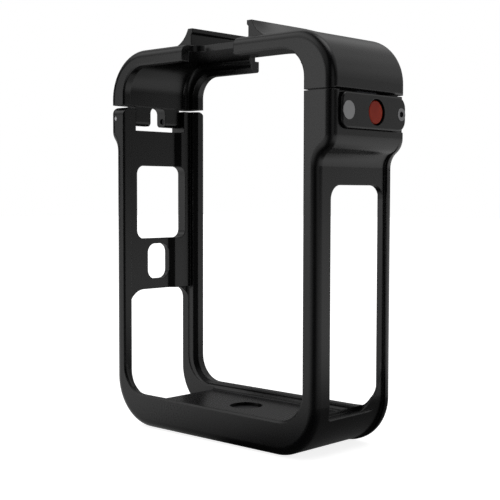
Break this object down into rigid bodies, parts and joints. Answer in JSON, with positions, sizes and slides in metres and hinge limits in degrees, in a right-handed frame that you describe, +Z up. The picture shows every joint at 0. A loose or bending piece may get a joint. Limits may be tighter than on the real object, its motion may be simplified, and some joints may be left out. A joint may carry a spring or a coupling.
{
  "type": "pocket camera cage",
  "caption": "Open metal cage that clamps round a pocket camera, with a hinged lid, push-button latch, accessory shoe and tripod thread.",
  "frame": {"origin": "on the underside, midway between the side walls and between front and back", "axes": "+X towards the latch side, +Y towards the back of the cage, +Z up"},
  "size_m": [0.0731, 0.0272, 0.0983],
  "materials": {
    "black_anodised": "satin black anodised, fine bead-blasted grain",
    "red_anodised": "satin red anodised",
    "black_steel": "blackened steel",
    "pin_steel": "ground stainless steel",
    "spring_steel": "rolled spring steel",
    "brass": "plain brass"
  },
  "bodies": {
    "frame": {"main_frame": "black_anodised", "hinge_pin_front": "pin_steel", "hinge_pin_rear": "pin_steel", "latch_plate": "black_anodised", "latch_rivet": "pin_steel", "latch_screw": "pin_steel", "latch_insert": "brass", "catch_leaf": "spring_steel", "tripod_bush": "black_steel"},
    "lid": {"top_lid": "black_anodised", "lid_strike": "spring_steel", "strike_screws": "black_steel"},
    "button": {"release_button": "red_anodised", "button_plunger": "pin_steel"}
  },
  "joints": [
    {"name": "lid_hinge", "type": "hinge", "parent": "frame", "child": "lid", "pos_m": [-0.0332, 0, 0.0775], "axis": [0, -1, 0], "range_deg": [0, 105], "deforming": ["catch_leaf"]},
    {"name": "button_press", "type": "slide", "parent": "frame", "child": "button", "axis": [-1, 0, 0], "range_m": [0, 0.0009], "stiffness_N_per_m": 500, "springref_m": -0.001, "deforming": ["catch_leaf"]}
  ]
}
